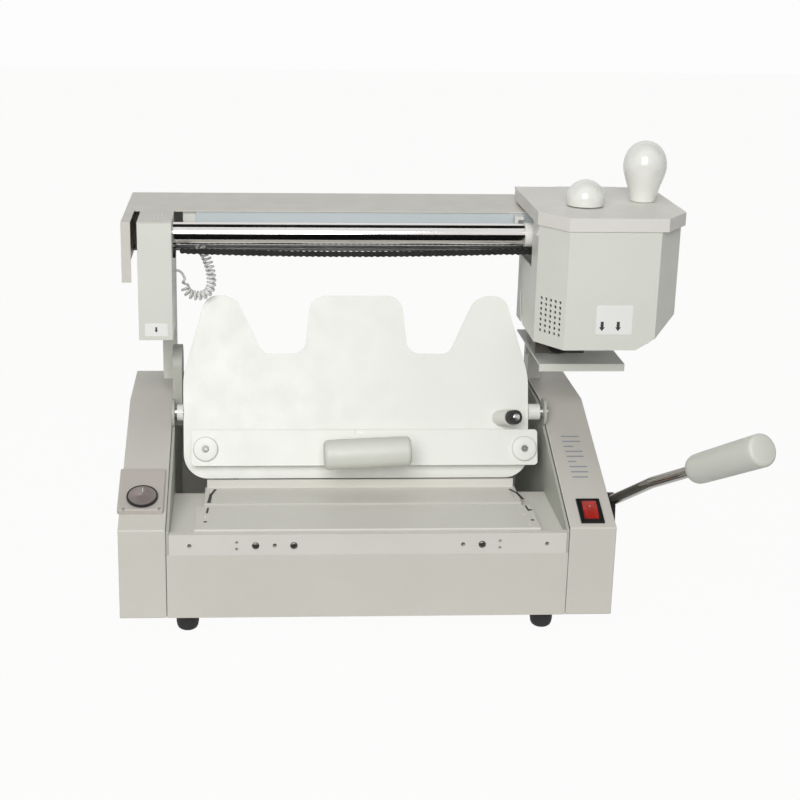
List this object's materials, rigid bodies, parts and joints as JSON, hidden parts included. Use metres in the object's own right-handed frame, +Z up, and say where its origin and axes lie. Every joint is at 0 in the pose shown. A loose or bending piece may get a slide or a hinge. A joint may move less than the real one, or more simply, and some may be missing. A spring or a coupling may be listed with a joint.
{
  "type": "hot melt binding machine",
  "caption": "Desk-top hot melt book binding machine: cream casing with a hinged cradle and clamp, side lever, and a lidded glue pot that runs along a chromed rail.",
  "frame": {"origin": "centre of the footprint on the table top, measured over everything but the cords", "axes": "+X along the rail towards the side lever, +Y from the front panel to the back, +Z up"},
  "size_m": [0.6316, 0.4464, 0.4905],
  "materials": {
    "cream_paint": "satin powder coat",
    "white_paint": "satin powder coat",
    "pot_paint": "satin powder coat",
    "grey_paint": "flat dark grey paint",
    "black_paint": "satin black",
    "zinc_steel": "plain zinc-plated",
    "bright_steel": "machined bright",
    "chrome_bar": "hard chromed, polished",
    "cast_tank": "cast, dark from heat",
    "bronze": "sintered bronze",
    "black_rubber": "matt",
    "black_plastic": "fine textured",
    "white_plastic": "smooth",
    "knob_plastic": "polished cream white",
    "red_plastic": "translucent red",
    "pink_metal": "spun face with a warm tint",
    "cord_cover": "smooth white sheath",
    "controller_shell": "warm grey, satin"
  },
  "bodies": {
    "base": {"base_plate": "zinc_steel", "feet": "black_rubber", "left_cover": "cream_paint", "right_cover": "cream_paint", "side_plates": "grey_paint", "front_panel": "cream_paint", "front_bar": "cream_paint", "front_screws": "zinc_steel", "back_panel": "cream_paint", "inlet": "black_plastic", "platform_table": "cream_paint", "rear_jaw": "cream_paint", "shaft_bushes": "bronze", "pivot_pins": "bright_steel", "left_post": "bright_steel", "right_post": "bright_steel", "left_column": "white_paint", "hood": "cream_paint", "rear_beam": "zinc_steel", "rail_brackets": "black_paint", "rail_bar": "chrome_bar", "cable_tray": "zinc_steel", "tray_cord": "cord_cover", "cord_clips": "black_plastic", "chain": "black_paint", "curly_loop": "cord_cover", "drip_tray": "white_paint", "controller_box": "controller_shell", "rocker_bezel": "black_plastic"},
    "dial": {"controller_dial": "pink_metal"},
    "rocker": {"rocker": "red_plastic"},
    "lever": {"cross_shaft": "bright_steel", "lever_hub": "black_paint", "lever_rod": "chrome_bar", "lever_grip": "knob_plastic"},
    "nip": {"nip_plate": "cream_paint", "nip_yokes": "zinc_steel"},
    "cradle": {"cradle_plate": "white_paint", "guide_bushes": "bronze", "thumb_spacer": "white_plastic"},
    "clamp": {"clamp_bar": "white_paint", "guide_rods": "bright_steel", "boss_caps": "white_paint"},
    "tee": {"tee_screw": "bright_steel", "tee_handle": "white_plastic"},
    "thumb": {"thumb_knob": "black_plastic"},
    "pot": {"pot_body": "pot_paint", "lid_hinge_pin": "bright_steel", "carriage": "zinc_steel", "bearing_bushes": "white_plastic", "carriage_arms": "zinc_steel", "glue_tank": "cast_tank", "heaters": "bright_steel", "drive_loop": "black_paint"},
    "lid": {"pot_lid": "pot_paint", "ball_knob": "knob_plastic", "egg_knob": "knob_plastic"},
    "sprocket": {"feed_sprocket": "bright_steel"},
    "glue_roller": {"glue_roller": "bright_steel"},
    "guide_roller": {"guide_roller": "white_plastic"}
  },
  "joints": [
    {"name": "pot_slide", "type": "slide", "parent": "base", "child": "pot", "axis": [-1, 0, 0], "range_m": [0, 0.32], "deforming": ["tray_cord"]},
    {"name": "lid_hinge", "type": "hinge", "parent": "pot", "child": "lid", "pos_m": [0.20217, 0.17767, 0.4195], "axis": [1, 0, 0], "range_deg": [-100, 0]},
    {"name": "cradle_flip", "type": "hinge", "parent": "base", "child": "cradle", "pos_m": [-0.05883, 0.06617, 0.1915], "axis": [1, 0, 0], "range_deg": [-160, 0]},
    {"name": "clamp_slide", "type": "slide", "parent": "cradle", "child": "clamp", "axis": [0, -0.9397, 0.342], "range_m": [0, 0.035]},
    {"name": "tee_turn", "type": "hinge", "parent": "clamp", "child": "tee", "pos_m": [-0.05484, -0.00594, 0.1688], "axis": [0, -0.9397, 0.342], "range_deg": [0, 3610]},
    {"name": "thumb_turn", "type": "hinge", "parent": "cradle", "child": "thumb", "pos_m": [0.10702, 0.04121, 0.19314], "axis": [0.4067, -0.8585, 0.3125], "continuous": true},
    {"name": "lever_swing", "type": "hinge", "parent": "base", "child": "lever", "pos_m": [0.20117, 0.00817, 0.086], "axis": [1, 0, 0], "range_deg": [0, 35]},
    {"name": "nip_slide", "type": "slide", "parent": "base", "child": "nip", "axis": [0, 1, 0], "range_m": [0, 0.005]},
    {"name": "sprocket_spin", "type": "hinge", "parent": "pot", "child": "sprocket", "pos_m": [0.15116, 0.05817, 0.3555], "axis": [0, 1, 0], "range_deg": [0, 1260]},
    {"name": "glue_roller_spin", "type": "hinge", "parent": "pot", "child": "glue_roller", "pos_m": [0.15116, 0.06317, 0.2847], "axis": [0, 1, 0], "range_deg": [0, 1260]},
    {"name": "guide_roller_spin", "type": "hinge", "parent": "pot", "child": "guide_roller", "pos_m": [0.20616, 0.20717, 0.3857], "axis": [0, 1, 0], "range_deg": [0, 1710]},
    {"name": "rocker_tilt", "type": "hinge", "parent": "base", "child": "rocker", "pos_m": [0.17247, -0.07753, 0.12687], "axis": [1, 0, 0], "range_deg": [-16, 0]},
    {"name": "dial_turn", "type": "hinge", "parent": "base", "child": "dial", "pos_m": [-0.29084, -0.06361, 0.1427], "axis": [0, -0.3476, 0.9376], "range_deg": [0, 300]}
  ],
  "couplings": [
    {"joint": "nip_slide", "follows": "lever_swing", "m_per_rad": 0.008185},
    {"joint": "tee_turn", "follows": "clamp_slide", "rad_per_m": 1795.2},
    {"joint": "sprocket_spin", "follows": "pot_slide", "rad_per_m": 65.965},
    {"joint": "glue_roller_spin", "follows": "pot_slide", "rad_per_m": 65.965},
    {"joint": "guide_roller_spin", "follows": "pot_slide", "rad_per_m": 90.909}
  ]
}
